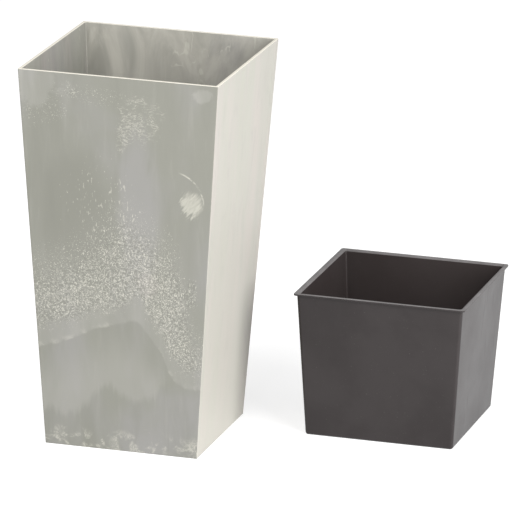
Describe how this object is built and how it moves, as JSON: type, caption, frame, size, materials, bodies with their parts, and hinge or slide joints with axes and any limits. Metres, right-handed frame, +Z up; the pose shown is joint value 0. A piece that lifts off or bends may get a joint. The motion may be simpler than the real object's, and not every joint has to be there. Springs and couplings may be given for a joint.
{
  "type": "self watering planter",
  "caption": "Tall tapered square planter with a removable liner stood beside it; the liner holds a water reservoir, wicking tray, fill tube, float gauge and overflow.",
  "frame": {"origin": "centre of the outer pot's flat underside, on the floor", "axes": "+Z up, +X from the pot towards the liner that stands beside it, +Y towards the back"},
  "size_m": [0.6719, 0.4769, 0.615],
  "materials": {
    "pot_composite": "matt stone-effect composite with cream speckle",
    "liner_plastic": "satin anthracite, fine moulded grain",
    "tray_plastic": "matt dark grey, moulded",
    "basket_plastic": "matt black, moulded",
    "kit_grey": "matt mid grey, moulded",
    "kit_black": "satin black, moulded",
    "cap_plastic": "polished black, moulded",
    "seal_rubber": "soft matt black rubber",
    "wick_felt": "dense needled felt",
    "hinge_steel": "drawn stainless wire",
    "float_foam": "closed-cell foam, off white",
    "tip_red": "glossy signal red",
    "gauge_clear": "clear moulded plastic"
  },
  "bodies": {
    "pot": {"outer_pot": "pot_composite"},
    "plug": {"drain_plug": "kit_black", "drain_plug_seal": "seal_rubber"},
    "liner": {"liner": "liner_plastic", "overflow_pipe": "kit_grey", "overflow_seal": "seal_rubber", "overflow_nut": "kit_grey", "overflow_strainer": "kit_grey"},
    "tray": {"separator_tray": "tray_plastic", "wick_baskets": "basket_plastic", "wicks": "wick_felt", "fill_tube": "kit_black", "fill_strainer": "kit_grey", "cap_hinge_pin": "hinge_steel", "float_cage": "kit_grey", "gauge_tube": "gauge_clear", "gauge_cap": "gauge_clear"},
    "cap": {"fill_cap": "cap_plastic"},
    "float": {"float": "float_foam", "indicator_rod": "hinge_steel", "indicator_tip": "tip_red"}
  },
  "joints": [
    {"name": "liner_lift", "type": "slide", "parent": "pot", "child": "liner", "axis": [0, 0, 1], "range_m": [0, 0.64]},
    {"name": "tray_lift", "type": "slide", "parent": "liner", "child": "tray", "axis": [0, 0, 1], "range_m": [0, 0.24]},
    {"name": "cap_hinge", "type": "hinge", "parent": "tray", "child": "cap", "pos_m": [0.463, 0.061, 0.2015], "axis": [1, 0, 0], "range_deg": [0, 100]},
    {"name": "float_rise", "type": "slide", "parent": "tray", "child": "float", "axis": [0, 0, 1], "range_m": [0, 0.026]},
    {"name": "plug_lift", "type": "slide", "parent": "pot", "child": "plug", "axis": [0, 0, 1], "range_m": [0, 0.64]}
  ]
}
